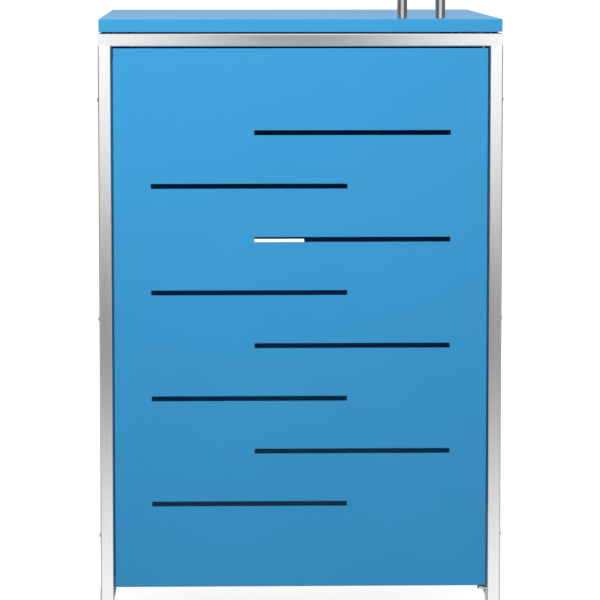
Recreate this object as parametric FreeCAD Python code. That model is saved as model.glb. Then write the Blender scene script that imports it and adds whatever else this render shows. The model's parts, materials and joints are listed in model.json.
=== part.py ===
import FreeCAD, Part
import math
import os

# A store for one wheeled bin: a welded square-tube frame with slotted panels,
# a flush front door on two pivot pins and a hinged lid on two gas struts.
# Millimetres. X to the right, Y to the back, Z up, origin on the floor at the middle.

# Overall sizes
frame_width = 690.0
total_depth = 775.0
lid_top_z = 1125.0
handle_rise = 56.0

# Square tube and sheet
tube = 22.5
tube_wall = 1.5
tube_corner = 2.5
sheet = 1.2
panel_sheet = 1.5

# Lid and the gap below it
lid_depth_z = 22.0
lid_gap = 2.5
lid_side_inset = 1.5
pan_lip = 12.0
pan_edge_radius = 1.6
lid_stiffener_y = 130.0
lid_stiffener_width = 44.0
lid_stiffener_half_length = 325.0
lid_stiffener_gap = 7.0
bumper_from_end = 60.0
bumper_radius = 4.5

# Door
door_gap = 3.0
door_bottom_z = 147.0
door_thickness = 11.0
pivot_from_edge = 8.0
pivot_from_front = 5.5
bush_radius = 3.9
bush_collar_radius = 5.2
bush_collar = 1.4
bush_length = 16.0
pivot_gap = 3.5
pivot_plate = 2.5
stiffener_outer_x = 302.0
stiffener_width = 32.0
stiffener_end_gap = 19.0

# Slots in the door, from the top row down
slot_height = 8.6
slot_corner = 1.5
slot_rows = 8
slot_pitch = 91.4
door_slot_top_z = 931.7
door_slot_length = 335.5
door_slot_overlap = 159.0

# Slots in the rear panel and in the side panels
rear_slot_top_z = 946.0
rear_slot_pitch = 90.0
rear_slot_length = 300.0
rear_slot_overlap = 54.0
side_slot_top_z = 932.6
side_slot_pitch = 69.3
side_slot_rows = 10
side_slot_length = 260.0
side_slot_margin = 25.0

# Hardware
bottom_rail_z = 119.0
foot_height = 6.0
bolt_heights = (236.0, 612.0, 988.0)
bolt_radius = 2.0
bolt_hole_radius = 2.2
bolt_head_radius = 4.0
bolt_head_height = 2.4
running_clearance = 0.05
nut_height = 3.2
clinch_nut_height = 1.2
rivet_head_radius = 3.6
rivet_head_height = 1.5
foot_spigot = 20.0

# Door stop and catch, both near the door's free edge
stop_from_front = 12.4
stop_low_z = 165.0
stop_high_z = 1055.0
stop_leg = 19.0
stop_face = 14.0
stop_pad_heights = (300.0, 900.0)
catch_left_x = -290.0
catch_width = 44.0
catch_height = 13.0

# Lid handle
handle_x = 206.7
handle_from_front = 31.0
handle_leg_spacing = 65.2
handle_rod_radius = 8.6
handle_bend_radius = 17.0

# Lid hinges
hinge_barrel_radius = 5.0
hinge_pin_radius = 2.5
hinge_x = 232.0
hinge_width = 64.0
hinge_leaf = 1.8

# Gas struts: both studs sit at the same distance from the lid's pin, so the strut
# turns by exactly half of the lid's angle while it gets longer.
strut_radius = 200.0
strut_lid_deg = 4.0
strut_closed_deg = 68.0
strut_x = 305.0
strut_tube_radius = 7.5
strut_rod_radius = 4.0
stud_radius = 4.0
eye_radius = 7.0
eye_half_width = 4.5

# Places that follow from the sizes
half_width = frame_width / 2
inner_x = half_width - tube
front_y = -total_depth / 2
rear_y = total_depth / 2 - 2 * hinge_barrel_radius
front_inner_y = front_y + tube
rear_inner_y = rear_y - tube
lid_bottom_z = lid_top_z - lid_depth_z
frame_top_z = lid_bottom_z - lid_gap
rail_bottom_z = frame_top_z - tube
door_half = inner_x - door_gap
door_top_z = rail_bottom_z - door_gap
door_back_y = front_y + door_thickness
pivot_x = door_half - pivot_from_edge
pivot_y = front_y + pivot_from_front
hinge_y = rear_y + hinge_barrel_radius
hinge_z = lid_bottom_z - lid_gap / 2
panel_x = inner_x - panel_sheet
panel_front_y = door_back_y + 1.0
panel_rear_y = rear_y - 8.5
stop_front_y = front_y + stop_from_front
panel_lap = 12.0
front_bolt_y = front_inner_y - 5.0
rear_bolt_y = rear_inner_y + 5.0

X = FreeCAD.Vector(1, 0, 0)
Y = FreeCAD.Vector(0, 1, 0)
Z = FreeCAD.Vector(0, 0, 1)
SIDES = (("left", -1), ("right", 1))


def point(x, y, z):
    return FreeCAD.Vector(x, y, z)


def block(x0, x1, y0, y1, z0, z1):
    low = point(min(x0, x1), min(y0, y1), min(z0, z1))
    return Part.makeBox(abs(x1 - x0), abs(y1 - y0), abs(z1 - z0), low)


def rod(radius, start, direction, length):
    return Part.makeCylinder(radius, length, start, direction)


def edges_along(shape, direction):
    found = []
    for edge in shape.Edges:
        ends = edge.Vertexes
        span = ends[-1].Point - ends[0].Point
        if span.Length > 1e-6 and abs(span.normalize().dot(direction)) > 0.999:
            found.append(edge)
    return found


def rounded_block(x0, x1, y0, y1, z0, z1, radius, direction):
    solid = block(x0, x1, y0, y1, z0, z1)
    return solid.makeFillet(radius, edges_along(solid, direction))


def mirrored(shape, side):
    return shape if side > 0 else shape.mirror(point(0, 0, 0), X)


def save(name, *solids):
    shape = solids[0] if len(solids) == 1 else Part.makeCompound(list(solids))
    shape.exportStep("parts/" + name + ".step")


def tube_block(x0, x1, y0, y1, z0, z1, direction):
    """A hollow tube that fills the box, open at both ends."""
    y0, y1 = sorted((y0, y1))
    inset = [tube_wall * (1 - abs(c)) for c in direction]
    core = rounded_block(
        x0 + inset[0], x1 - inset[0], y0 + inset[1], y1 - inset[1],
        z0 + inset[2], z1 - inset[2], tube_corner - tube_wall, direction)
    return rounded_block(x0, x1, y0, y1, z0, z1, tube_corner, direction).cut(core)


def prism(corners, z0, z1):
    wire = Part.makePolygon([point(x, y, z0) for x, y in corners + corners[:1]])
    return Part.Face(wire).extrude(Z * (z1 - z0))


def bolt(y, z, side, length):
    """A low-headed bolt through the side of a post, its head on the outer face."""
    head = rod(bolt_head_radius, point(half_width, y, z), X, bolt_head_height)
    head = head.makeFillet(1.2, [e for e in head.Edges if e.BoundBox.XMin > half_width + 1.0
                                 and e.BoundBox.YLength > bolt_head_radius])
    socket = rod(1.3, point(half_width + 1.1, y, z), X, 2.0)
    shank = rod(bolt_radius, point(half_width - length, y, z), X, length)
    return mirrored(head.cut(socket).fuse(shank), side)


# Frame

def make_posts():
    places = (("front", front_y, front_inner_y, front_bolt_y), ("rear", rear_inner_y, rear_y, rear_bolt_y))
    for where, y0, y1, bolt_y in places:
        for name, side in SIDES:
            post = tube_block(inner_x, half_width, y0, y1, foot_height, rail_bottom_z, Z)
            for z in bolt_heights:
                post = post.cut(rod(bolt_hole_radius, point(inner_x - 1, bolt_y, z), X, tube + 2))
            save("post_" + where + "_" + name, mirrored(post, side))


def make_top_ring():
    """Four tubes with mitred corners, so the ring reads as one continuous square."""
    corner = tube + 1
    for where, outer, step in (("front", front_y, 1), ("rear", rear_y, -1)):
        rail = tube_block(-half_width, half_width, outer, outer + step * tube,
                          rail_bottom_z, frame_top_z, X)
        for side in (-1, 1):
            wedge = prism([(side * (half_width + 1), outer - step),
                           (side * (half_width + 1), outer + step * corner),
                           (side * (half_width - corner), outer + step * corner)],
                          rail_bottom_z - 1, frame_top_z + 1)
            rail = rail.cut(wedge)
        if where == "front":
            rail = rail.cut(rod(hinge_pin_radius, point(pivot_x, pivot_y, rail_bottom_z - 1), Z, 4))
        save("top_rail_" + where, rail)
    for name, side in SIDES:
        rail = tube_block(inner_x, half_width, front_y, rear_y, rail_bottom_z, frame_top_z, Y)
        for outer, step in ((front_y, 1), (rear_y, -1)):
            wedge = prism([(half_width + 1, outer - step),
                           (half_width - corner, outer - step),
                           (half_width - corner, outer + step * corner)],
                          rail_bottom_z - 1, frame_top_z + 1)
            rail = rail.cut(wedge)
        save("top_rail_" + name, mirrored(rail, side))


def make_bottom_rails():
    top = bottom_rail_z + tube
    for name, side in SIDES:
        rail = tube_block(inner_x, half_width, front_inner_y, rear_inner_y, bottom_rail_z, top, Y)
        save("bottom_rail_" + name, mirrored(rail, side))
    save("bottom_rail_rear", tube_block(-inner_x, inner_x, rear_inner_y, rear_y, bottom_rail_z, top, X))


def make_foot_caps():
    """A plastic cap under each post with a ribbed spigot up inside the tube."""
    spigot_half = tube / 2 - tube_wall - 0.2
    caps = []
    for x in (-half_width + tube / 2, half_width - tube / 2):
        for y in (front_y + tube / 2, rear_y - tube / 2):
            base = rounded_block(x - tube / 2, x + tube / 2, y - tube / 2, y + tube / 2,
                                 0, foot_height, tube_corner, Z)
            low_edges = [e for e in base.Edges if e.BoundBox.ZMax < 0.01]
            base = base.makeChamfer(0.8, low_edges)
            spigot = rounded_block(x - spigot_half, x + spigot_half, y - spigot_half, y + spigot_half,
                                   foot_height, foot_height + foot_spigot, 0.8, Z)
            bore = rod(5, point(x, y, foot_height + 2), Z, foot_spigot)
            caps.append(base.fuse(spigot).cut(bore))
    save("foot_caps", *caps)


# Fixed panels

def slot_rows_cut(shape, rows, top_z, pitch, spans, cutter):
    """Cuts rows of slots; even and odd rows take turns between the two spans."""
    for row in range(rows):
        start, end = spans[row % 2]
        shape = shape.cut(cutter(start, end, top_z - row * pitch))
    return shape


def slot_along_x(y0, y1):
    def cutter(start, end, z):
        return rounded_block(start, end, y0, y1, z - slot_height / 2, z + slot_height / 2, slot_corner, Y)
    return cutter


def slot_along_y(start, end, z):
    return rounded_block(panel_x - 1, inner_x + 1, start, end,
                         z - slot_height / 2, z + slot_height / 2, slot_corner, X)


def make_side_panels():
    """Flat sheets on the inner faces of the frame, notched round the front and rear tubes."""
    top = rail_bottom_z + panel_lap
    low = bottom_rail_z + tube - panel_lap
    panel = block(panel_x, inner_x, panel_front_y, panel_rear_y, low, top)
    notch_top = rail_bottom_z - 0.5
    low_notch_top = bottom_rail_z + tube + 0.5
    front_notch = (panel_front_y - 1, front_inner_y + 0.5)
    rear_notch = (rear_inner_y - 0.5, panel_rear_y + 1)
    for (y0, y1), z0, z1 in ((front_notch, notch_top, top + 1), (rear_notch, notch_top, top + 1),
                             (rear_notch, low - 1, low_notch_top)):
        panel = panel.cut(block(panel_x - 1, inner_x + 1, y0, y1, z0, z1))
    front_start = front_inner_y + side_slot_margin
    rear_end = rear_inner_y - side_slot_margin
    spans = ((front_start, front_start + side_slot_length), (rear_end - side_slot_length, rear_end))
    panel = slot_rows_cut(panel, side_slot_rows, side_slot_top_z, side_slot_pitch, spans, slot_along_y)
    for y in (front_bolt_y, rear_bolt_y):
        for z in bolt_heights:
            panel = panel.cut(rod(bolt_hole_radius, point(panel_x - 1, y, z), X, 4))
    for z in bracket_screw_heights():
        panel = panel.cut(rod(bolt_radius, point(panel_x - 1, strut_base().y, z), X, 4))
    for name, side in SIDES:
        save("side_panel_" + name, mirrored(panel, side))


def make_rear_panel():
    """A pan with flanges turned forward; its side flanges are bolted to the rear posts."""
    low = bottom_rail_z + tube + 1.5
    high = rail_bottom_z - 1.5
    face_y = panel_rear_y + 3.0
    flange_front_y = rear_inner_y - 10.0
    pan = block(-panel_x, panel_x, flange_front_y, face_y, low, high)
    hollow = block(-panel_x + panel_sheet, panel_x - panel_sheet, flange_front_y - 1, face_y - panel_sheet,
                   low + panel_sheet, high - panel_sheet)
    pan = pan.cut(hollow)
    left_start = rear_slot_overlap / 2 - rear_slot_length
    spans = ((-rear_slot_overlap / 2, rear_slot_length - rear_slot_overlap / 2),
             (left_start, rear_slot_overlap / 2))
    pan = slot_rows_cut(pan, slot_rows, rear_slot_top_z, rear_slot_pitch, spans,
                        slot_along_x(face_y - panel_sheet - 1, face_y + 1))
    for side in (-1, 1):
        for z in bolt_heights:
            pan = pan.cut(rod(bolt_hole_radius, point(side * (panel_x + 1), rear_bolt_y, z), X * -side, 4))
    save("rear_panel", pan)


def hex_nut(inner_face_x, y, z, side):
    wire = Part.makePolygon([point(0, 4.0 * math.cos(a), 4.0 * math.sin(a))
                             for a in [math.radians(60 * n + 30) for n in range(7)]])
    nut = Part.Face(wire).extrude(X * -nut_height)
    nut.translate(point(inner_face_x, y, z))
    nut = nut.cut(rod(bolt_radius, point(inner_face_x - 4, y, z), X, 6))
    return mirrored(nut, side)


def make_side_bolts():
    bolts = []
    clinch_nuts = []
    hex_nuts = []
    laps = panel_sheet * 2
    for side in (-1, 1):
        for z in bolt_heights:
            bolts.append(bolt(rear_bolt_y, z, side, tube + laps + nut_height))
            hex_nuts.append(hex_nut(inner_x - laps, rear_bolt_y, z, side))
    for z in bolt_heights:
        bolts.append(bolt(front_bolt_y, z, -1, tube + laps + nut_height))
        hex_nuts.append(hex_nut(inner_x - laps, front_bolt_y, z, -1))
        bolts.append(bolt(front_bolt_y, z, 1, tube + panel_sheet + clinch_nut_height))
        clinch = rod(3.4, point(panel_x - clinch_nut_height, front_bolt_y, z), X, clinch_nut_height)
        clinch_nuts.append(clinch.cut(rod(bolt_radius, point(panel_x - 2, front_bolt_y, z), X, 3)))
    save("side_bolts", *bolts)
    save("hex_nuts", *hex_nuts)
    save("clinch_nuts", *clinch_nuts)


# Door

def make_door_stop():
    """An angle behind the door's free edge, with two rubber pads the door closes on."""
    outer = -panel_x
    leg = block(outer, outer + panel_sheet, stop_front_y, stop_front_y + stop_leg, stop_low_z, stop_high_z)
    face = block(outer, outer + stop_face, stop_front_y, stop_front_y + panel_sheet, stop_low_z, stop_high_z)
    angle = leg.fuse(face)
    for z in bolt_heights:
        angle = angle.cut(rod(bolt_hole_radius, point(outer - 1, front_bolt_y, z), X, 4))
    save("door_stop_angle", angle.removeSplitter())
    pads = []
    for z in stop_pad_heights:
        pads.append(rounded_block(outer + 3.5, outer + 12.5, door_back_y + 0.3, stop_front_y,
                                  z - 15, z + 15, 1.5, Y))
    save("door_stop_pads", *pads)


def make_door_panel():
    """A pan of folded sheet, open at the back inside a narrow lip."""
    outer = block(-door_half, door_half, front_y, door_back_y, door_bottom_z, door_top_z)
    front_edges = [e for e in outer.Edges if e.BoundBox.YMax < front_y + 0.01]
    upright_edges = edges_along(outer, Y)
    outer = outer.makeFillet(pan_edge_radius * 0.75, front_edges + upright_edges)
    inside = block(-door_half + sheet, door_half - sheet, front_y + sheet, door_back_y - sheet,
                   door_bottom_z + sheet, door_top_z - sheet)
    window = block(-door_half + pan_lip, door_half - pan_lip, door_back_y - sheet - 1, door_back_y + 1,
                   door_bottom_z + pan_lip, door_top_z - pan_lip)
    pan = outer.cut(inside).cut(window)
    right_start = -door_slot_overlap / 2
    spans = ((right_start, right_start + door_slot_length),
             (-right_start - door_slot_length, -right_start))
    pan = slot_rows_cut(pan, slot_rows, door_slot_top_z, slot_pitch, spans,
                        slot_along_x(front_y - 1, front_y + sheet + 1))
    for flange_z in (door_bottom_z, door_top_z):
        pan = pan.cut(rod(bush_radius, point(pivot_x, pivot_y, flange_z - 3), Z, 6))
    save("door_panel", pan)


def make_door_stiffeners():
    """Two upright channels spot-welded behind the front sheet, clear of the slots."""
    channels = []
    low = door_bottom_z + stiffener_end_gap
    high = door_top_z - stiffener_end_gap
    back = door_back_y - sheet - 0.4
    inner_edge = stiffener_outer_x - stiffener_width
    body = block(inner_edge, stiffener_outer_x, front_y + sheet, back, low, high)
    hollow = block(inner_edge + sheet, stiffener_outer_x - sheet, front_y + sheet - 1, back - sheet,
                   low - 1, high + 1)
    for name, side in SIDES:
        channels.append(mirrored(body.cut(hollow), side))
    save("door_stiffeners", *channels)


def bush(flange_z, up):
    """A collared nylon bush: its shank goes into the door, its collar lies outside."""
    shank = rod(bush_radius, point(pivot_x, pivot_y, flange_z), Z * -up, bush_length)
    collar = rod(bush_collar_radius, point(pivot_x, pivot_y, flange_z), Z * up, bush_collar)
    start = point(pivot_x, pivot_y, flange_z + up * 3)
    return shank.fuse(collar).cut(rod(hinge_pin_radius + running_clearance, start, Z * -up, bush_length + 6))


def make_door_pivots():
    save("door_bush_upper", bush(door_top_z, 1))
    save("door_bush_lower", bush(door_bottom_z, -1))
    save("pivot_pin_upper", rod(hinge_pin_radius, point(pivot_x, pivot_y, door_top_z - 13), Z, 18.5))
    plate_top = door_bottom_z - pivot_gap
    plate_low = plate_top - pivot_plate
    near_y = front_y + 0.5
    far_y = front_y + 12
    plate = rounded_block(pivot_x - 5.5, inner_x, near_y, far_y, plate_low, plate_top, 2, Z)
    square_end = block(inner_x - 4, inner_x, near_y, far_y, plate_low, plate_top)
    leg = block(inner_x - pivot_plate, inner_x, near_y, far_y, bottom_rail_z, plate_top)
    bracket = plate.fuse([square_end, leg]).removeSplitter()
    bracket = bracket.cut(rod(hinge_pin_radius, point(pivot_x, pivot_y, plate_top - 4), Z, 6))
    save("pivot_bracket_lower", bracket)
    save("pivot_pin_lower", rod(hinge_pin_radius, point(pivot_x, pivot_y, plate_low), Z, 17.0))
    washer = rod(bush_collar_radius, point(pivot_x, pivot_y, plate_top), Z, 2.0)
    save("pivot_washer", washer.cut(rod(hinge_pin_radius, point(pivot_x, pivot_y, plate_top - 1), Z, 4)))


def make_catch():
    """A magnetic catch under the front rail, near the door's free edge."""
    face_y = door_back_y + 1.2
    left = catch_left_x
    right = left + catch_width
    low = rail_bottom_z - catch_height
    body = rounded_block(left, right, face_y + 0.8, face_y + 14, low, rail_bottom_z, 1.2, Z)
    magnet = block(left + 8, right - 8, face_y, face_y + 8, low + 2, rail_bottom_z - 3)
    body = body.cut(magnet)
    screws = []
    for x in (left + 4, right - 4):
        body = body.cut(rod(1.5, point(x, face_y + 5.5, low - 1), Z, catch_height + 2))
        head = rod(2.6, point(x, face_y + 5.5, low - 1.4), Z, 1.4)
        screws.append(head.fuse(rod(1.5, point(x, face_y + 5.5, low), Z, catch_height)))
    save("catch_body", body)
    save("catch_magnet", magnet)
    save("catch_screws", *screws)
    strike = rounded_block(left + 6, right - 6, door_back_y, door_back_y + 1, low - 1, low + 9, 1.5, Y)
    save("strike_plate", strike)


# Lid

def make_lid_panel():
    """A shallow pan over the whole frame with a narrow lip turned in along its lower edge."""
    x1 = half_width - lid_side_inset
    outer = block(-x1, x1, front_y, rear_y, lid_bottom_z, lid_top_z)
    top_edges = [e for e in outer.Edges if e.BoundBox.ZMin > lid_top_z - 0.01]
    outer = outer.makeFillet(pan_edge_radius, top_edges + edges_along(outer, Z))
    inside = block(-x1 + sheet, x1 - sheet, front_y + sheet, rear_y - sheet,
                   lid_bottom_z + sheet, lid_top_z - sheet)
    window = block(-x1 + pan_lip, x1 - pan_lip, front_y + pan_lip, rear_y - pan_lip,
                   lid_bottom_z - 1, lid_bottom_z + sheet + 1)
    pan = outer.cut(inside).cut(window)
    for x in handle_leg_places():
        pan = pan.cut(rod(3.2, point(x, handle_y(), lid_top_z - 3), Z, 5))
    save("lid_panel", pan)


def make_lid_stiffeners():
    """Two shallow channels across the underside of the lid."""
    channels = []
    end = lid_stiffener_half_length
    half = lid_stiffener_width / 2
    low = lid_bottom_z + lid_stiffener_gap
    for y in (-lid_stiffener_y, lid_stiffener_y):
        body = block(-end, end, y - half, y + half, low, lid_top_z - sheet)
        hollow = block(-end - 1, end + 1, y - half + sheet, y + half - sheet, low + sheet, lid_top_z)
        channels.append(body.cut(hollow))
    save("lid_stiffeners", *channels)


def handle_leg_places():
    return (handle_x - handle_leg_spacing / 2, handle_x + handle_leg_spacing / 2)


def handle_y():
    return front_y + handle_from_front


def make_handle():
    """A bow of round bar: two legs, two bends and a straight grip."""
    left, right = handle_leg_places()
    y = handle_y()
    grip_z = lid_top_z + handle_rise - handle_rod_radius
    bend_z = grip_z - handle_bend_radius
    r = handle_bend_radius
    k = r * (1 - math.sqrt(0.5))
    left_bend = Part.Arc(point(left, y, bend_z), point(left + k, y, grip_z - k), point(left + r, y, grip_z))
    right_bend = Part.Arc(point(right - r, y, grip_z), point(right - k, y, grip_z - k),
                          point(right, y, bend_z))
    stretches = [
        Part.LineSegment(point(left, y, lid_top_z), point(left, y, bend_z)), left_bend,
        Part.LineSegment(point(left + r, y, grip_z), point(right - r, y, grip_z)), right_bend,
        Part.LineSegment(point(right, y, bend_z), point(right, y, lid_top_z))]
    path = Part.Wire([stretch.toShape() for stretch in stretches])
    section = Part.Wire([Part.Circle(point(left, y, lid_top_z), Z, handle_rod_radius).toShape()])
    bow = path.makePipeShell([section], True, False)
    screws = []
    for x in (left, right):
        bow = bow.cut(rod(2.5, point(x, y, lid_top_z - 1), Z, 15))
        head = rod(5.0, point(x, y, lid_top_z - sheet - 4.6), Z, 3.6)
        head = head.cut(rod(2.0, point(x, y, lid_top_z - sheet - 5), Z, 2.4))
        washer = rod(7.5, point(x, y, lid_top_z - sheet - 1), Z, 1.0)
        screws.append(head.fuse([washer, rod(2.5, point(x, y, lid_top_z - sheet), Z, 14)]))
    save("lid_handle", bow)
    save("handle_screws", *screws)


def hinge_knuckle(x0, x1, bore):
    barrel = rod(hinge_barrel_radius, point(x0, hinge_y, hinge_z), X, x1 - x0)
    return barrel.cut(rod(bore, point(x0 - 1, hinge_y, hinge_z), X, x1 - x0 + 2))


def make_lid_hinges():
    """Butt hinges on the rear face: the frame leaf holds the pin, the lid leaf turns on it."""
    half = hinge_width / 2
    middle = hinge_width / 4
    play = 0.2
    leaf_y = rear_y + hinge_leaf
    frame_leaf_top = hinge_z - hinge_barrel_radius - 0.8
    lid_leaf_low = hinge_z + hinge_barrel_radius + 0.8
    frame_rivets = []
    lid_rivets = []
    for name, side in SIDES:
        x = side * hinge_x
        frame_leaf = block(x - half, x + half, rear_y, leaf_y, rail_bottom_z - 14, frame_leaf_top)
        for x0, x1 in ((x - half, x - middle - play), (x + middle + play, x + half)):
            tab = block(x0, x1, rear_y, leaf_y, frame_leaf_top, hinge_z)
            tab = tab.cut(rod(hinge_pin_radius, point(x0 - 1, hinge_y, hinge_z), X, x1 - x0 + 2))
            frame_leaf = frame_leaf.fuse([tab, hinge_knuckle(x0, x1, hinge_pin_radius)])
        bore = hinge_pin_radius + running_clearance
        lid_leaf = block(x - half, x + half, rear_y, leaf_y, lid_leaf_low, lid_top_z - 2.5)
        tab = block(x - middle, x + middle, rear_y, leaf_y, hinge_z, lid_leaf_low)
        lid_leaf = lid_leaf.fuse([tab, hinge_knuckle(x - middle, x + middle, bore)])
        for dx in (-half + 9, half - 9):
            frame_rivets.append(rivet(x + dx, rail_bottom_z - 4))
            lid_rivets.append(rivet(x + dx, lid_top_z - 9.5))
            frame_leaf = frame_leaf.cut(rivet_hole(x + dx, rail_bottom_z - 4))
            lid_leaf = lid_leaf.cut(rivet_hole(x + dx, lid_top_z - 9.5))
        save("hinge_frame_leaf_" + name, frame_leaf.removeSplitter())
        save("hinge_lid_leaf_" + name, lid_leaf.removeSplitter())
        pin_start = point(x - half - 0.5, hinge_y, hinge_z)
        save("hinge_pin_" + name, rod(hinge_pin_radius, pin_start, X, hinge_width + 1))
    save("hinge_rivets_frame", *frame_rivets)
    save("hinge_rivets_lid", *lid_rivets)


def rivet_hole(x, z):
    return rod(bolt_radius, point(x, rear_y - 1, z), Y, hinge_leaf + 2)


def rivet(x, z):
    """A blind rivet's low head outside the leaf and its shank through it."""
    leaf_y = rear_y + hinge_leaf
    head = rod(rivet_head_radius, point(x, leaf_y, z), Y, rivet_head_height)
    head = head.makeChamfer(0.7, [e for e in head.Edges if e.BoundBox.YMin > leaf_y + 1])
    return head.fuse(rod(bolt_radius, point(x, rear_y, z), Y, hinge_leaf))


def make_lid_bumpers():
    """Four low rubber pads on the ring that the lid's lip closes on."""
    pads = []
    for x in (-half_width + 9, half_width - 9):
        for y in (front_y + bumper_from_end, rear_y - bumper_from_end):
            pad = rod(bumper_radius, point(x, y, frame_top_z), Z, lid_gap - 0.3)
            pads.append(pad.makeFillet(1.0, [e for e in pad.Edges if e.BoundBox.ZMin > frame_top_z + 1]))
    save("lid_bumpers", *pads)


# Gas struts

def on_circle(degrees_down):
    """A point at the strut radius from the lid's pin, by its angle below level towards the front."""
    a = math.radians(degrees_down)
    return point(strut_x, hinge_y - strut_radius * math.cos(a), hinge_z - strut_radius * math.sin(a))


def strut_base():
    return on_circle(strut_lid_deg + strut_closed_deg)


def strut_head():
    return on_circle(strut_lid_deg)


def bracket_screw_heights():
    return (strut_base().z - 19, strut_base().z + 19)


def stud(centre, plate_x):
    """A shouldered stud that points inwards from its plate, with a riveted end."""
    inner_end = strut_x - eye_half_width - 1.0
    pin = rod(stud_radius, point(inner_end, centre.y, centre.z), X, plate_x - inner_end)
    cap = rod(5.5, point(inner_end - 1.5, centre.y, centre.z), X, 1.5)
    shoulder = rod(6.0, point(strut_x + eye_half_width + 0.5, centre.y, centre.z), X,
                   plate_x - strut_x - eye_half_width - 0.5)
    return pin.fuse([cap, shoulder])


def eye(centre, towards, neck_end):
    body = rod(eye_radius, centre - X * eye_half_width, X, 2 * eye_half_width)
    neck = rod(4.0, centre + towards * 5.0, towards, neck_end - 5.0)
    bore = rod(stud_radius + running_clearance, centre - X * (eye_half_width + 1), X, 2 * eye_half_width + 2)
    return body.fuse(neck).cut(bore)


def make_struts():
    base = strut_base()
    head = strut_head()
    along = (head - base).normalize()
    closed = (head - base).Length
    end = 14.0
    gland = 9.0
    tube_top = closed - end - 4.0
    inner_radius = strut_tube_radius - 1.3
    piston_low = end + 8.0
    piston_length = 8.0

    tube_body = rod(strut_tube_radius, base + along * end, along, tube_top - end)
    tube_body = tube_body.cut(rod(inner_radius, base + along * (end + 4), along, tube_top - end - 4 - gland))
    gland_start = base + along * (tube_top - gland - 1)
    tube_body = tube_body.cut(rod(strut_rod_radius + 0.1, gland_start, along, gland + 3))
    piston = rod(inner_radius - 0.1, base + along * piston_low, along, piston_length)
    piston_rod = rod(strut_rod_radius, base + along * (piston_low + piston_length), along,
                     closed - end - piston_low - piston_length)

    lower_plate = rounded_block(panel_x - 3, panel_x, base.y - 13, base.y + 13,
                                base.z - 26, base.z + 26, 5, X)
    for z in bracket_screw_heights():
        lower_plate = lower_plate.cut(rod(bolt_radius, point(panel_x - 4, base.y, z), X, 6))
    lower_plate = lower_plate.fuse(stud(base, panel_x - 3))
    hanger_x = panel_x - 7
    lid_underside = lid_top_z - sheet
    hanger = block(hanger_x, hanger_x + 3, head.y - 13, head.y + 13, head.z - 8, lid_underside)
    flange = block(hanger_x - 22, hanger_x + 3, head.y - 13, head.y + 13, lid_underside - 3, lid_underside)
    upper_bracket = hanger.fuse([flange, stud(head, hanger_x)]).removeSplitter()

    screws = []
    for name, side in SIDES:
        save("strut_bracket_lower_" + name, mirrored(lower_plate, side))
        save("strut_bracket_upper_" + name, mirrored(upper_bracket, side))
        save("strut_tube_" + name, mirrored(tube_body, side))
        save("strut_piston_" + name, mirrored(piston, side))
        save("strut_rod_" + name, mirrored(piston_rod, side))
        save("strut_eye_lower_" + name, mirrored(eye(base, along, end), side))
        save("strut_eye_upper_" + name, mirrored(eye(head, along * -1, end), side))
        for z in bracket_screw_heights():
            shank = rod(bolt_radius, point(panel_x - 3, base.y, z), X, 3 + panel_sheet)
            dome = rod(3.8, point(inner_x, base.y, z), X, 1.8)
            collar = rod(3.4, point(panel_x - 4.2, base.y, z), X, 1.2)
            screws.append(mirrored(shank.fuse([dome, collar]), side))
    save("strut_bracket_rivets", *screws)


make_posts()
make_top_ring()
make_bottom_rails()
make_foot_caps()
make_side_panels()
make_rear_panel()
make_side_bolts()
make_door_stop()
make_door_panel()
make_door_stiffeners()
make_door_pivots()
make_catch()
make_lid_panel()
make_lid_stiffeners()
make_handle()
make_lid_hinges()
make_lid_bumpers()
make_struts()
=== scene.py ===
import json
import math

import bmesh
import bpy
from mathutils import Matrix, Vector


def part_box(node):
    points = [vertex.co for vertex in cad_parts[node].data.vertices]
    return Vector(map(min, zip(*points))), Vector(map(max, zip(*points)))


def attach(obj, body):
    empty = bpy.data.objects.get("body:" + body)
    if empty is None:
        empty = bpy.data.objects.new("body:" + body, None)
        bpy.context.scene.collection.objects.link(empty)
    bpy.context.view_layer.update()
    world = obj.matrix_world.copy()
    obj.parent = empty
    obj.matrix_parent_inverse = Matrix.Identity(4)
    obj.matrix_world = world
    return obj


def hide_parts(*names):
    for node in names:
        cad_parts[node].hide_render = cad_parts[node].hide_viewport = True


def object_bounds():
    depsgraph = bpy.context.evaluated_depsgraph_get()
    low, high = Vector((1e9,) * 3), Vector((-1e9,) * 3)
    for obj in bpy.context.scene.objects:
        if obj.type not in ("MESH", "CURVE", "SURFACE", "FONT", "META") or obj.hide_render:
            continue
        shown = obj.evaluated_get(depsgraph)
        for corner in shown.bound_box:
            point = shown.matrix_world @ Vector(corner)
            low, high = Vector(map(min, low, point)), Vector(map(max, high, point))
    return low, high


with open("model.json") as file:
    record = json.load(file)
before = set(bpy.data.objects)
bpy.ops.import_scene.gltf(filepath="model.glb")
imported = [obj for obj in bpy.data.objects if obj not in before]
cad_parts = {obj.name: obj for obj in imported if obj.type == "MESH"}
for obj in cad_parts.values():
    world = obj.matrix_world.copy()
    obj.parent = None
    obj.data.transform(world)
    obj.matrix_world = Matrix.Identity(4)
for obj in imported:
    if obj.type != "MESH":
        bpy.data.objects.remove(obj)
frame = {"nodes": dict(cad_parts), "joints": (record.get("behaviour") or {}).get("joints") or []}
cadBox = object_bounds()
print("bin store: frame loaded,", len(frame["nodes"]), "nodes")


# camera: a little above the lid, well back, slightly left of the door's middle;
# metres and degrees, with the lens and its sensor in millimetres
cameraSetup = {
    "distance": 5.5,  # in front of the store
    "aside": -0.148,
    "eyeHeight": 1.2556,
    "turnRight": 1.527,
    "tiltDown": 5.803,
    "lens": 193.87,
    "sensor": 36.0,
    "shiftY": -0.05,
    "farthest": 200.0,
}


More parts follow.
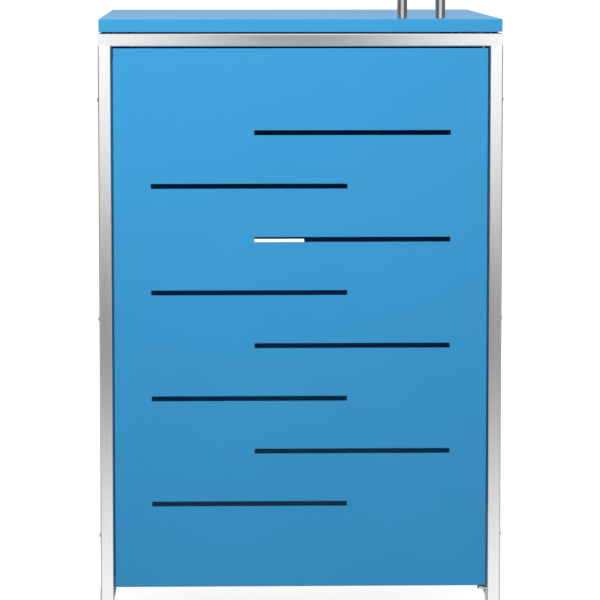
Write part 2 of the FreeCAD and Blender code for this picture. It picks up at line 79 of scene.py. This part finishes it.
def makeCamera(spec):
    data = bpy.data.cameras.new("storeCamera")
    data.sensor_width = spec["sensor"]
    data.lens = spec["lens"]
    data.shift_y = spec["shiftY"]
    data.clip_end = spec["farthest"]
    cam = bpy.data.objects.new("storeCamera", data)
    cam.location = (spec["aside"], cadBox[0].y - spec["distance"], spec["eyeHeight"])
    cam.rotation_euler = (math.radians(90 - spec["tiltDown"]), 0, math.radians(-spec["turnRight"]))
    bpy.context.scene.collection.objects.link(cam)
    bpy.context.scene.camera = cam


makeCamera(cameraSetup)
bpy.context.scene.view_settings.view_transform = "Standard"
print("camera placed")


# small helpers for node trees
def startMaterial(name):
    mat = bpy.data.materials.new(name)
    mat.use_nodes = True
    tree = mat.node_tree
    return mat, tree, tree.nodes["Principled BSDF"]


def addNode(tree, kind, **values):
    node = tree.nodes.new(kind)
    for key, value in values.items():
        if key in node.inputs:
            node.inputs[key].default_value = value
        else:
            setattr(node, key, value)
    return node


def stretchedNoise(tree, scale, stretch=(1, 1, 1), detail=2.0):
    coords = addNode(tree, "ShaderNodeTexCoord")
    mapping = addNode(tree, "ShaderNodeMapping")
    mapping.inputs["Scale"].default_value = stretch
    noise = addNode(tree, "ShaderNodeTexNoise", Scale=scale, Detail=detail)
    tree.links.new(coords.outputs["Object"], mapping.inputs["Vector"])
    tree.links.new(mapping.outputs["Vector"], noise.inputs["Vector"])
    return noise.outputs["Fac"]


def remap(tree, value, low, high, fromLow=0.3, fromHigh=0.7):
    node = tree.nodes.new("ShaderNodeMapRange")
    node.inputs["From Min"].default_value = fromLow
    node.inputs["From Max"].default_value = fromHigh
    node.inputs["To Min"].default_value = low
    node.inputs["To Max"].default_value = high
    tree.links.new(value, node.inputs["Value"])
    return node.outputs["Result"]


def blendColours(tree, factor, first, second):
    node = tree.nodes.new("ShaderNodeMix")
    node.data_type = "RGBA"
    node.inputs["A"].default_value = (*first, 1)
    node.inputs["B"].default_value = (*second, 1)
    tree.links.new(factor, node.inputs["Factor"])
    return node.outputs["Result"]


def bumpFrom(tree, height, strength, distance, after=None):
    node = tree.nodes.new("ShaderNodeBump")
    node.inputs["Strength"].default_value = strength
    node.inputs["Distance"].default_value = distance
    tree.links.new(height, node.inputs["Height"])
    if after is not None:
        tree.links.new(after, node.inputs["Normal"])
    return node.outputs["Normal"]


# blue powder coat: satin, with the low orange peel and fine grain of a baked coat
powderCoat = {
    "colour": (0.037, 0.345, 0.690),
    "deepColour": (0.034, 0.330, 0.668),
    "cloudScale": 5.0,
    "roughness": (0.39, 0.43),
    "sheenScale": 90.0,
    "peelScale": 420.0,
    "peelBump": (0.12, 0.0004),  # strength, depth
    "grainScale": 2600.0,
    "grainBump": (0.05, 0.0002),
}


def makePowderCoat(spec):
    mat, tree, shader = startMaterial("bluePowderCoat")
    cloud = stretchedNoise(tree, spec["cloudScale"], detail=3.0)
    tones = blendColours(tree, remap(tree, cloud, 0, 1), spec["colour"], spec["deepColour"])
    tree.links.new(tones, shader.inputs["Base Color"])
    peel = stretchedNoise(tree, spec["peelScale"], detail=1.0)
    grain = stretchedNoise(tree, spec["grainScale"], detail=1.0)
    sheen = stretchedNoise(tree, spec["sheenScale"])
    tree.links.new(remap(tree, sheen, *spec["roughness"]), shader.inputs["Roughness"])
    peelNormal = bumpFrom(tree, peel, *spec["peelBump"])
    tree.links.new(bumpFrom(tree, grain, *spec["grainBump"], peelNormal), shader.inputs["Normal"])
    return mat


# stainless tube: brushed along its length, so reflections smear across it
brushedSteel = {
    "bright": (0.955, 0.957, 0.96),
    "dull": (0.90, 0.902, 0.907),
    "roughness": (0.14, 0.18),
    "anisotropy": 0.9,
    "acrossScale": 900.0,
    "alongScale": 6.0,
    "broadShare": 0.12,  # the roughness changes more slowly than the streaks
    "bump": (0.05, 0.00005),
}


def makeBrushedSteel(name, spec, axis):
    mat, tree, shader = startMaterial(name)
    shader.inputs["Metallic"].default_value = 1.0
    shader.inputs["Anisotropic"].default_value = spec["anisotropy"]
    stretch = [spec["alongScale"] if letter == axis else spec["acrossScale"] for letter in "XYZ"]
    streak = stretchedNoise(tree, 1.0, stretch, detail=3.0)
    broad = stretchedNoise(tree, 1.0, [v * spec["broadShare"] for v in stretch], detail=2.0)
    tones = blendColours(tree, remap(tree, streak, 0, 1), spec["dull"], spec["bright"])
    tree.links.new(tones, shader.inputs["Base Color"])
    tree.links.new(remap(tree, broad, *spec["roughness"]), shader.inputs["Roughness"])
    tree.links.new(bumpFrom(tree, streak, *spec["bump"]), shader.inputs["Normal"])
    tangent = addNode(tree, "ShaderNodeTangent", direction_type="RADIAL", axis=axis)
    tree.links.new(tangent.outputs["Tangent"], shader.inputs["Tangent"])
    return mat


# the smaller finishes share one recipe: two tones, a roughness range and a fine bump
finishes = {
    "mirrorChrome": {"tones": ((0.53, 0.54, 0.56), (0.50, 0.51, 0.53)), "metal": 1.0,
                     "roughness": (0.03, 0.09), "scale": 60.0, "bump": 0.01},
    "groundChrome": {"tones": ((0.82, 0.83, 0.85), (0.76, 0.77, 0.79)), "metal": 1.0,
                     "roughness": (0.08, 0.16), "scale": 300.0, "bump": 0.02},
    "plainStainless": {"tones": ((0.68, 0.68, 0.69), (0.60, 0.60, 0.62)), "metal": 1.0,
                       "roughness": (0.22, 0.36), "scale": 500.0, "bump": 0.04},
    "zincPlate": {"tones": ((0.66, 0.68, 0.72), (0.54, 0.56, 0.60)), "metal": 1.0,
                  "roughness": (0.28, 0.44), "scale": 350.0, "bump": 0.05},
    "blackEnamel": {"tones": ((0.018, 0.018, 0.020), (0.024, 0.024, 0.026)), "metal": 0.0,
                    "roughness": (0.18, 0.28), "scale": 200.0, "bump": 0.02},
    "blackPlastic": {"tones": ((0.022, 0.022, 0.024), (0.034, 0.034, 0.036)), "metal": 0.0,
                     "roughness": (0.45, 0.6), "scale": 1600.0, "bump": 0.12},
    "blackNylon": {"tones": ((0.026, 0.026, 0.028), (0.034, 0.034, 0.036)), "metal": 0.0,
                   "roughness": (0.35, 0.5), "scale": 700.0, "bump": 0.05},
    "weldSteel": {"tones": ((0.72, 0.71, 0.70), (0.58, 0.56, 0.55)), "metal": 1.0,
                  "roughness": (0.25, 0.4), "scale": 900.0, "bump": 0.06},
    "blackRubber": {"tones": ((0.016, 0.016, 0.016), (0.028, 0.028, 0.028)), "metal": 0.0,
                    "roughness": (0.65, 0.85), "scale": 1200.0, "bump": 0.15},
    "sinteredMagnet": {"tones": ((0.10, 0.10, 0.11), (0.06, 0.06, 0.07)), "metal": 0.6,
                       "roughness": (0.4, 0.6), "scale": 900.0, "bump": 0.1},
}

finishGrain = {"softShare": 0.1, "bumpDepth": 0.0003}  # tone and gloss vary more slowly than the bump


def makeFinish(name, spec):
    mat, tree, shader = startMaterial(name)
    shader.inputs["Metallic"].default_value = spec["metal"]
    fine = stretchedNoise(tree, spec["scale"], detail=3.0)
    soft = stretchedNoise(tree, spec["scale"] * finishGrain["softShare"], detail=2.0)
    tones = blendColours(tree, remap(tree, soft, 0, 1), *spec["tones"])
    tree.links.new(tones, shader.inputs["Base Color"])
    tree.links.new(remap(tree, soft, *spec["roughness"]), shader.inputs["Roughness"])
    tree.links.new(bumpFrom(tree, fine, spec["bump"], finishGrain["bumpDepth"]), shader.inputs["Normal"])
    return mat


bluePaint = makePowderCoat(powderCoat)
steelUpright = makeBrushedSteel("steelBrushedUpright", brushedSteel, "Z")
steelAcross = makeBrushedSteel("steelBrushedAcross", brushedSteel, "X")
steelDeep = makeBrushedSteel("steelBrushedDeep", brushedSteel, "Y")
finish = {name: makeFinish(name, spec) for name, spec in finishes.items()}
print("materials made")


# which finish each kind of CAD node takes; the first match counts
nodeFinishes = [
    ("post_", steelUpright),
    ("top_rail_front", steelAcross), ("top_rail_rear", steelAcross), ("bottom_rail_rear", steelAcross),
    ("top_rail_", steelDeep), ("bottom_rail_", steelDeep),
    ("door_panel", bluePaint), ("lid_panel", bluePaint),
    ("rear_panel", bluePaint), ("side_panel_", bluePaint),
    ("door_stop_angle", bluePaint), ("door_stiffeners", bluePaint), ("lid_stiffeners", bluePaint),
    ("lid_handle", finish["mirrorChrome"]),
    ("strut_rod_", finish["groundChrome"]),
    ("strut_tube_", finish["blackEnamel"]),
    ("strut_eye_", finish["blackPlastic"]), ("strut_piston_", finish["blackPlastic"]),
    ("foot_caps", finish["blackPlastic"]), ("catch_body", finish["blackPlastic"]),
    ("door_bush_", finish["blackNylon"]),
    ("lid_bumpers", finish["blackRubber"]), ("door_stop_pads", finish["blackRubber"]),
    ("catch_magnet", finish["sinteredMagnet"]),
    ("hinge_", finish["plainStainless"]), ("side_bolts", finish["plainStainless"]),
    ("handle_screws", finish["plainStainless"]),
    ("", finish["zincPlate"]),
]


def finishNodes():
    for name, node in frame["nodes"].items():
        mat = next(m for start, m in nodeFinishes if name.startswith(start))
        node.data.materials.clear()
        node.data.materials.append(mat)


finishNodes()
print("CAD nodes finished")


# mesh helpers: turned parts, swept rounds and rounded blocks
def ringPoints(radius, corners, sides):
    points = []
    for n in range(sides):
        angle = 2 * math.pi * n / sides
        reach = radius
        if corners:
            sector = 2 * math.pi / corners
            reach = radius / math.cos((angle + sector / 2) % sector - sector / 2)
        points.append((reach * math.cos(angle), reach * math.sin(angle)))
    return points


def bridge(bm, first, second):
    count = len(first)
    for n in range(count):
        bm.faces.new((first[n], first[(n + 1) % count], second[(n + 1) % count], second[n]))


# a row is (how far along the axis, radius, corners): no corners is round, six a hexagon across its flats
def turned(bm, rows, place, axis, sides=24, closed=False):
    turn = Vector(axis).to_track_quat("Z", "Y").to_matrix()
    rings = []
    for along, radius, corners in rows:
        rings.append([bm.verts.new(Vector(place) + turn @ Vector((a, b, along)))
                      for a, b in ringPoints(radius, corners, sides)])
    for first, second in zip(rings, rings[1:]):
        bridge(bm, first, second)
    if closed:
        bridge(bm, rings[-1], rings[0])
    else:
        bm.faces.new(rings[0][::-1])
        bm.faces.new(rings[-1])


# a round section carried along a path of points, turning as little as it can
def swept(bm, path, radii, sides):
    last = len(path) - 1
    rings = []
    across = None
    for n, here in enumerate(path):
        ahead = (path[min(n + 1, last)] - path[max(n - 1, 0)]).normalized()
        if across is None:
            across = ahead.orthogonal().normalized()
        across = (across - ahead * across.dot(ahead)).normalized()
        other = ahead.cross(across)
        rings.append([bm.verts.new(here + across * a + other * b) for a, b in ringPoints(radii[n], 0, sides)])
    for first, second in zip(rings, rings[1:]):
        bridge(bm, first, second)
    bm.faces.new(rings[0][::-1])
    bm.faces.new(rings[-1])


def roundedSquare(halfX, halfY, radius, steps=6):
    points = []
    for quarter, (sx, sy) in enumerate(((1, 1), (-1, 1), (-1, -1), (1, -1))):
        for n in range(steps + 1):
            angle = math.pi / 2 * (quarter + n / steps)
            points.append((sx * (halfX - radius) + radius * math.cos(angle),
                           sy * (halfY - radius) + radius * math.sin(angle)))
    return points


def finishPiece(name, bm, mat, body, stands=(), smoothAngle=35):
    bmesh.ops.recalc_face_normals(bm, faces=bm.faces)
    mesh = bpy.data.meshes.new(name)
    bm.to_mesh(mesh)
    bm.free()
    mesh.materials.append(mat)
    mesh.shade_smooth()
    mesh.set_sharp_from_angle(angle=math.radians(smoothAngle))
    piece = bpy.data.objects.new(name, mesh)
    bpy.context.scene.collection.objects.link(piece)
    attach(piece, body)
    if stands:
        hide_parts(*stands)


# the box of each separate solid in a CAD node, so that new pieces go exactly where the old ones are
def solidBoxes(node, weldDistance=1e-6, digits=5):
    bm = bmesh.new()
    bm.from_mesh(frame["nodes"][node].data)
    bmesh.ops.remove_doubles(bm, verts=bm.verts, dist=weldDistance)
    waiting = set(bm.verts)
    boxes = []
    while waiting:
        front = [waiting.pop()]
        low, high = front[0].co.copy(), front[0].co.copy()
        while front:
            vert = front.pop()
            low = Vector(map(min, low, vert.co))
            high = Vector(map(max, high, vert.co))
            for edge in vert.link_edges:
                other = edge.other_vert(vert)
                if other in waiting:
                    waiting.discard(other)
                    front.append(other)
        boxes.append((low, high))
    bm.free()
    return sorted(boxes, key=lambda box: tuple(round(v, digits) for v in box[0]))


# lid handle: a bow of bright round bar
handleShape = {"bendRadius": 0.017, "bendSteps": 18, "sides": 48, "lift": 0.0003}


def makeHandle(spec):
    low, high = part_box("lid_handle")
    radius = (high.y - low.y) / 2
    y = (low.y + high.y) / 2
    left, right = low.x + radius, high.x - radius
    foot = low.z + spec["lift"]
    gripZ = high.z - radius
    bend = spec["bendRadius"]
    path = [Vector((left, y, foot))]
    for centreX, start in ((left + bend, math.pi), (right - bend, math.pi / 2)):
        for n in range(spec["bendSteps"] + 1):
            angle = start - math.pi / 2 * n / spec["bendSteps"]
            path.append(Vector((centreX + bend * math.cos(angle), y, gripZ - bend + bend * math.sin(angle))))
    path.append(Vector((right, y, foot)))
    bm = bmesh.new()
    swept(bm, path, [radius] * len(path), spec["sides"])
    finishPiece("lidHandle", bm, finish["mirrorChrome"], "lid", ["lid_handle"])


# fasteners: button heads with a hexagon socket, and chamfered hexagon nuts
buttonHead = {
    "height": 0.0024,
    "shank": 0.002,
    "crownSteps": 6,
    "tip": (0.8, 0.25),  # the shank's end: its radius and its length, in shank radii
    "rim": 0.12,  # from here on, shares of the head's height or radius
    "flat": 0.5625,
    "socket": 0.42,
    "socketMouth": 1.12,  # share of the socket's own radius
    "socketLip": 0.94,
    "socketDepth": 0.6,
}
nutShape = {"flats": 0.00346, "chamfer": 0.00035, "bore": 0.0021, "boreMouth": 1.15, "faceShare": 0.97}


def buttonRows(spec, headRadius, headHeight, shankRadius, shankLength):
    tipShare, tipLength = spec["tip"]
    rows = [(-shankLength, shankRadius * tipShare, 0),
            (-shankLength + shankRadius * tipLength, shankRadius, 0),
            (0, shankRadius, 0), (0, headRadius, 0), (headHeight * spec["rim"], headRadius, 0)]
    flat = headRadius * spec["flat"]
    for n in range(1, spec["crownSteps"] + 1):
        angle = math.pi / 2 * n / spec["crownSteps"]
        rows.append((headHeight * (spec["rim"] + (1 - spec["rim"]) * math.sin(angle)),
                     flat + (headRadius - flat) * math.cos(angle), 0))
    socket = headRadius * spec["socket"]
    rows.append((headHeight, socket * spec["socketMouth"], 0))
    rows.append((headHeight * spec["socketLip"], socket, 6))
    rows.append((headHeight * (1 - spec["socketDepth"]), socket, 6))
    return rows


def makeSideBolts(spec):
    bm = bmesh.new()
    for low, high in solidBoxes("side_bolts"):
        side = 1 if low.x + high.x > 0 else -1
        headRadius = (high.z - low.z) / 2
        length = high.x - low.x
        headHeight = spec["height"]
        outer = high.x if side > 0 else low.x
        place = (outer - side * headHeight, (low.y + high.y) / 2, (low.z + high.z) / 2)
        rows = buttonRows(spec, headRadius, headHeight, spec["shank"], length - headHeight)
        turned(bm, rows, place, (side, 0, 0))
    finishPiece("sideBolts", bm, finish["plainStainless"], "frame", ["side_bolts"])


def makeHexNuts(spec):
    bm = bmesh.new()
    for low, high in solidBoxes("hex_nuts"):
        place = (low.x, (low.y + high.y) / 2, (low.z + high.z) / 2)
        tall = high.x - low.x
        mouth, face = spec["bore"] * spec["boreMouth"], spec["flats"] * spec["faceShare"]
        rows = [(0, mouth, 0), (0, face, 0),
                (spec["chamfer"], spec["flats"], 6), (tall - spec["chamfer"], spec["flats"], 6),
                (tall, face, 0), (tall, mouth, 0),
                (tall - spec["chamfer"], spec["bore"], 0), (spec["chamfer"], spec["bore"], 0)]
        turned(bm, rows, place, (1, 0, 0), closed=True)
    finishPiece("hexNuts", bm, finish["zincPlate"], "frame", ["hex_nuts"])


# frame joints: the posts run on into the ring, welded and ground flush; the lower rails keep their beads
postCorner = {"radius": 0.0025, "rise": 0.0025}
weldBead = {"radius": 0.0015, "ripple": 0.00022, "pitch": 0.0018, "step": 0.0003, "sides": 10}


def makePostTops(spec):
    bm = bmesh.new()
    for post in (name for name in frame["nodes"] if name.startswith("post_")):
        low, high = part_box(post)
        middle = (low + high) / 2
        outline = roundedSquare((high.x - low.x) / 2, (high.y - low.y) / 2, spec["radius"])
        rings = [[bm.verts.new((middle.x + a, middle.y + b, z)) for a, b in outline]
                 for z in (high.z, high.z + spec["rise"])]
        bridge(bm, *rings)
        bm.faces.new(rings[0][::-1])
        bm.faces.new(rings[1])
    finishPiece("postTopWelds", bm, steelUpright, "frame")


# a rippled bead from corner to corner
def bead(bm, corners, spec):
    path = []
    for first, second in zip(corners, corners[1:]):
        count = int((second - first).length / spec["step"])
        path += [first.lerp(second, n / count) for n in range(count)]
    path.append(corners[-1])
    waves = [math.sin(2 * math.pi * n * spec["step"] / spec["pitch"]) for n in range(len(path))]
    radii = [spec["radius"] + spec["ripple"] * wave for wave in waves]
    swept(bm, path, radii, spec["sides"])


def makeBeads(spec):
    bm = bmesh.new()
    for rail in ("bottom_rail_left", "bottom_rail_right"):
        low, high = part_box(rail)
        outer, inner = (low.x, high.x) if low.x < 0 else (high.x, low.x)
        for y in (low.y, high.y):
            corners = [(inner, low.z), (outer, low.z), (outer, high.z), (inner, high.z)]
            bead(bm, [Vector((x, y, z)) for x, z in corners], spec)
    low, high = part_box("bottom_rail_rear")
    for x in (low.x, high.x):
        corners = [(low.y, low.z), (high.y, low.z), (high.y, high.z), (low.y, high.z)]
        bead(bm, [Vector((x, y, z)) for y, z in corners], spec)
    finishPiece("weldBeads", bm, finish["weldSteel"], "frame", smoothAngle=60)


# gas struts: drawn cylinder with a rolled gland groove and turned-over ends
strutShape = {
    "radius": 0.0075,
    "start": 0.014,  # from the lower stud
    "headGap": 0.018,  # to the upper stud
    "roll": 0.0018,
    "rollSteps": 5,
    "grooveAt": 0.009,  # from the head
    "groove": 0.0009,
    "grooveWidth": 0.0016,  # each way from its middle
    "grooveSteps": 8,
    "rodHole": 0.0041,
    "sides": 48,
}


def jointPlace(name):
    return Vector(next(j for j in frame["joints"] if j["name"] == name)["pos_m"])


def strutRows(spec, length):
    radius, roll = spec["radius"], spec["roll"]
    quarter = [math.pi / 2 * n / spec["rollSteps"] for n in range(spec["rollSteps"] + 1)]
    rows = [(roll * (1 - math.cos(angle)), radius - roll * (1 - math.sin(angle)), 0) for angle in quarter]
    for n in range(spec["grooveSteps"] + 1):
        share = n / spec["grooveSteps"]
        rows.append((length - spec["grooveAt"] + spec["grooveWidth"] * (2 * share - 1),
                     radius - spec["groove"] * math.sin(math.pi * share), 0))
    rows += [(length - roll * (1 - math.sin(angle)), radius - roll * (1 - math.cos(angle)), 0)
             for angle in quarter]
    return rows + [(length, spec["rodHole"], 0), (length - roll, spec["rodHole"], 0)]


def makeStrutTubes(spec):
    for side in ("left", "right"):
        base = jointPlace("strut_cylinder_pivot_" + side)
        head = jointPlace("strut_rod_pivot_" + side)
        along = (head - base).normalized()
        length = (head - base).length - spec["start"] - spec["headGap"]
        bm = bmesh.new()
        turned(bm, strutRows(spec, length), base + along * spec["start"], along, spec["sides"])
        finishPiece("strutCylinder_" + side, bm, finish["blackEnamel"], "strut_cylinder_" + side,
                    ["strut_tube_" + side])


makeHandle(handleShape)
makeSideBolts(buttonHead)
makeHexNuts(nutShape)
makePostTops(postCorner)
makeBeads(weldBead)
makeStrutTubes(strutShape)
print("detail pieces made")


# studio: pale floor, a soft key light high in front, a rim light behind, and a room for the metal to reflect;
# places in the room are directions: across from -1 to 1, and height from -1 to 1
studio = {
    "floorSize": 160.0,
    "floorGlowNear": 0.88,
    "floorGlowFar": 1.0,
    "floorFade": (0.9, 3.5),
    "floorColour": 0.24,
    "floorBounce": 0.03,  # what the floor gives back to the store
    "ambient": 0.66,
    "roomLow": 0.34,
    "roomHigh": 0.98,
    "roomRise": (-0.45, 0.6),
    "screen": 1.84,  # a bright screen in front
    "screenCentre": (0.03, -0.10),
    "screenHalf": (0.36, 0.30),
    "darkDepth": 0.90,  # a level and an upright dark band across it
    "horizonCentre": -0.1205,
    "horizonWidth": 0.063,
    "uprightCentre": 0.027,
    "uprightWidth": 0.053,
    "sideCentre": 0.84,  # a dark band at each side
    "sideWidth": 0.21,
    "sideDepth": 0.86,
    "sideHeight": -0.03,
    "sideReach": 0.12,
    "keySize": (2.4, 0.9),
    "keyPlace": (-0.3, -1.8, 1.75),
    "keyAim": (0.0, -0.39, 0.85),
    "keyPower": 28.0,
    "rimSize": (2.4, 2.4),
    "rimPlace": (2.6, 2.4, 2.6),
    "rimAim": (0.0, 0.0, 0.6),
    "rimPower": 30.0,
}


def makeAreaLight(name, place, aim, size, power):
    data = bpy.data.lights.new(name, "AREA")
    data.shape = "RECTANGLE"
    data.size, data.size_y = size
    data.energy = power
    lamp = bpy.data.objects.new(name, data)
    lamp.location = place
    lamp.rotation_euler = (Vector(aim) - Vector(place)).to_track_quat("-Z", "Y").to_euler()
    lamp.visible_camera = False
    lamp.visible_glossy = False
    bpy.context.scene.collection.objects.link(lamp)


def mathNode(tree, operation, *values):
    node = tree.nodes.new("ShaderNodeMath")
    node.operation = operation
    for socket, value in zip(node.inputs, values):
        if isinstance(value, (int, float)):
            socket.default_value = value
        else:
            tree.links.new(value, socket)
    return node.outputs[0]


def softBand(tree, value, centre, width):
    offset = mathNode(tree, "DIVIDE", mathNode(tree, "SUBTRACT", value, centre), width)
    square = mathNode(tree, "MULTIPLY", offset, offset)
    return mathNode(tree, "POWER", math.e, mathNode(tree, "MULTIPLY", square, -1.0))


# what is left where a band takes away up to depth
def keep(tree, value, depth):
    return mathNode(tree, "SUBTRACT", 1.0, mathNode(tree, "MULTIPLY", value, depth))


# the camera sees a lit floor that glows a little, and the store gets only a dim bounce from it
def makeFloorFinish(spec):
    mat = bpy.data.materials.new("paleFloor")
    mat.use_nodes = True
    tree = mat.node_tree
    tree.nodes.remove(tree.nodes["Principled BSDF"])
    seen = addNode(tree, "ShaderNodeBsdfDiffuse", Color=(*[spec["floorColour"]] * 3, 1))
    glow = addNode(tree, "ShaderNodeEmission")
    coords = addNode(tree, "ShaderNodeTexCoord")
    reach = addNode(tree, "ShaderNodeVectorMath", operation="LENGTH")
    tree.links.new(coords.outputs["Object"], reach.inputs[0])
    glowNow = remap(tree, reach.outputs["Value"], spec["floorGlowNear"], spec["floorGlowFar"],
                    *spec["floorFade"])
    tree.links.new(glowNow, glow.inputs["Strength"])
    bounce = addNode(tree, "ShaderNodeBsdfDiffuse", Color=(*[spec["floorBounce"]] * 3, 1))
    lifted = tree.nodes.new("ShaderNodeAddShader")
    choose = tree.nodes.new("ShaderNodeMixShader")
    path = tree.nodes.new("ShaderNodeLightPath")
    tree.links.new(seen.outputs[0], lifted.inputs[0])
    tree.links.new(glow.outputs[0], lifted.inputs[1])
    tree.links.new(path.outputs["Is Camera Ray"], choose.inputs[0])
    tree.links.new(bounce.outputs[0], choose.inputs[1])
    tree.links.new(lifted.outputs[0], choose.inputs[2])
    tree.links.new(choose.outputs[0], tree.nodes["Material Output"].inputs["Surface"])
    return mat


def makeFloor(spec):
    half = spec["floorSize"] / 2
    mesh = bpy.data.meshes.new("studioFloor")
    corners = [(-half, -half, 0), (half, -half, 0), (half, half, 0), (-half, half, 0)]
    mesh.from_pydata(corners, [], [(0, 1, 2, 3)])
    floor = bpy.data.objects.new("studioFloor", mesh)
    bpy.context.scene.collection.objects.link(floor)
    floor.data.materials.append(makeFloorFinish(spec))
    floor.visible_glossy = False


# the room as the metal sees it: brighter upwards, with the screen in front and the dark bands
def reflectedRoom(tree, spec):
    coords = tree.nodes.new("ShaderNodeTexCoord")
    split = tree.nodes.new("ShaderNodeSeparateXYZ")
    tree.links.new(coords.outputs["Generated"], split.inputs["Vector"])
    aside, depth, height = (split.outputs[letter] for letter in "XYZ")
    horizon = softBand(tree, height, spec["horizonCentre"], spec["horizonWidth"])
    upright = softBand(tree, aside, spec["uprightCentre"], spec["uprightWidth"])
    bands = keep(tree, mathNode(tree, "MAXIMUM", horizon, upright), spec["darkDepth"])
    screen = mathNode(tree, "MULTIPLY", softBand(tree, aside, spec["screenCentre"][0], spec["screenHalf"][0]),
                      softBand(tree, height, spec["screenCentre"][1], spec["screenHalf"][1]))
    screen = mathNode(tree, "MULTIPLY", screen, mathNode(tree, "LESS_THAN", depth, 0.0))
    sides = mathNode(tree, "MULTIPLY", softBand(tree, height, spec["sideHeight"], spec["sideReach"]),
                     softBand(tree, mathNode(tree, "ABSOLUTE", aside), spec["sideCentre"], spec["sideWidth"]))
    room = remap(tree, height, spec["roomLow"], spec["roomHigh"], *spec["roomRise"])
    room = mathNode(tree, "MULTIPLY", room, keep(tree, sides, spec["sideDepth"]))
    lit = mathNode(tree, "MULTIPLY", spec["screen"], bands)
    return mathNode(tree, "ADD", mathNode(tree, "MULTIPLY", screen, lit),
                    mathNode(tree, "MULTIPLY", room, mathNode(tree, "SUBTRACT", 1.0, screen)))


# reflections see that room, the camera sees white, and the store is lit by an even grey
def makeWorld(spec):
    world = bpy.data.worlds.new("studioWorld")
    world.use_nodes = True
    tree = world.node_tree
    background = tree.nodes["Background"]
    path = tree.nodes.new("ShaderNodeLightPath")
    reflected = reflectedRoom(tree, spec)
    glossy, camera = path.outputs["Is Glossy Ray"], path.outputs["Is Camera Ray"]
    plain = mathNode(tree, "MULTIPLY_ADD", camera, 1.0 - spec["ambient"], spec["ambient"])
    notGlossy = mathNode(tree, "SUBTRACT", 1.0, glossy)
    strength = mathNode(tree, "ADD", mathNode(tree, "MULTIPLY", glossy, reflected),
                        mathNode(tree, "MULTIPLY", notGlossy, plain))
    tree.links.new(strength, background.inputs["Strength"])
    background.inputs["Color"].default_value = (1, 1, 1, 1)
    bpy.context.scene.world = world


makeFloor(studio)
makeWorld(studio)
makeAreaLight("keyLight", studio["keyPlace"], studio["keyAim"], studio["keySize"], studio["keyPower"])
makeAreaLight("rimLight", studio["rimPlace"], studio["rimAim"], studio["rimSize"], studio["rimPower"])
print("studio lit")
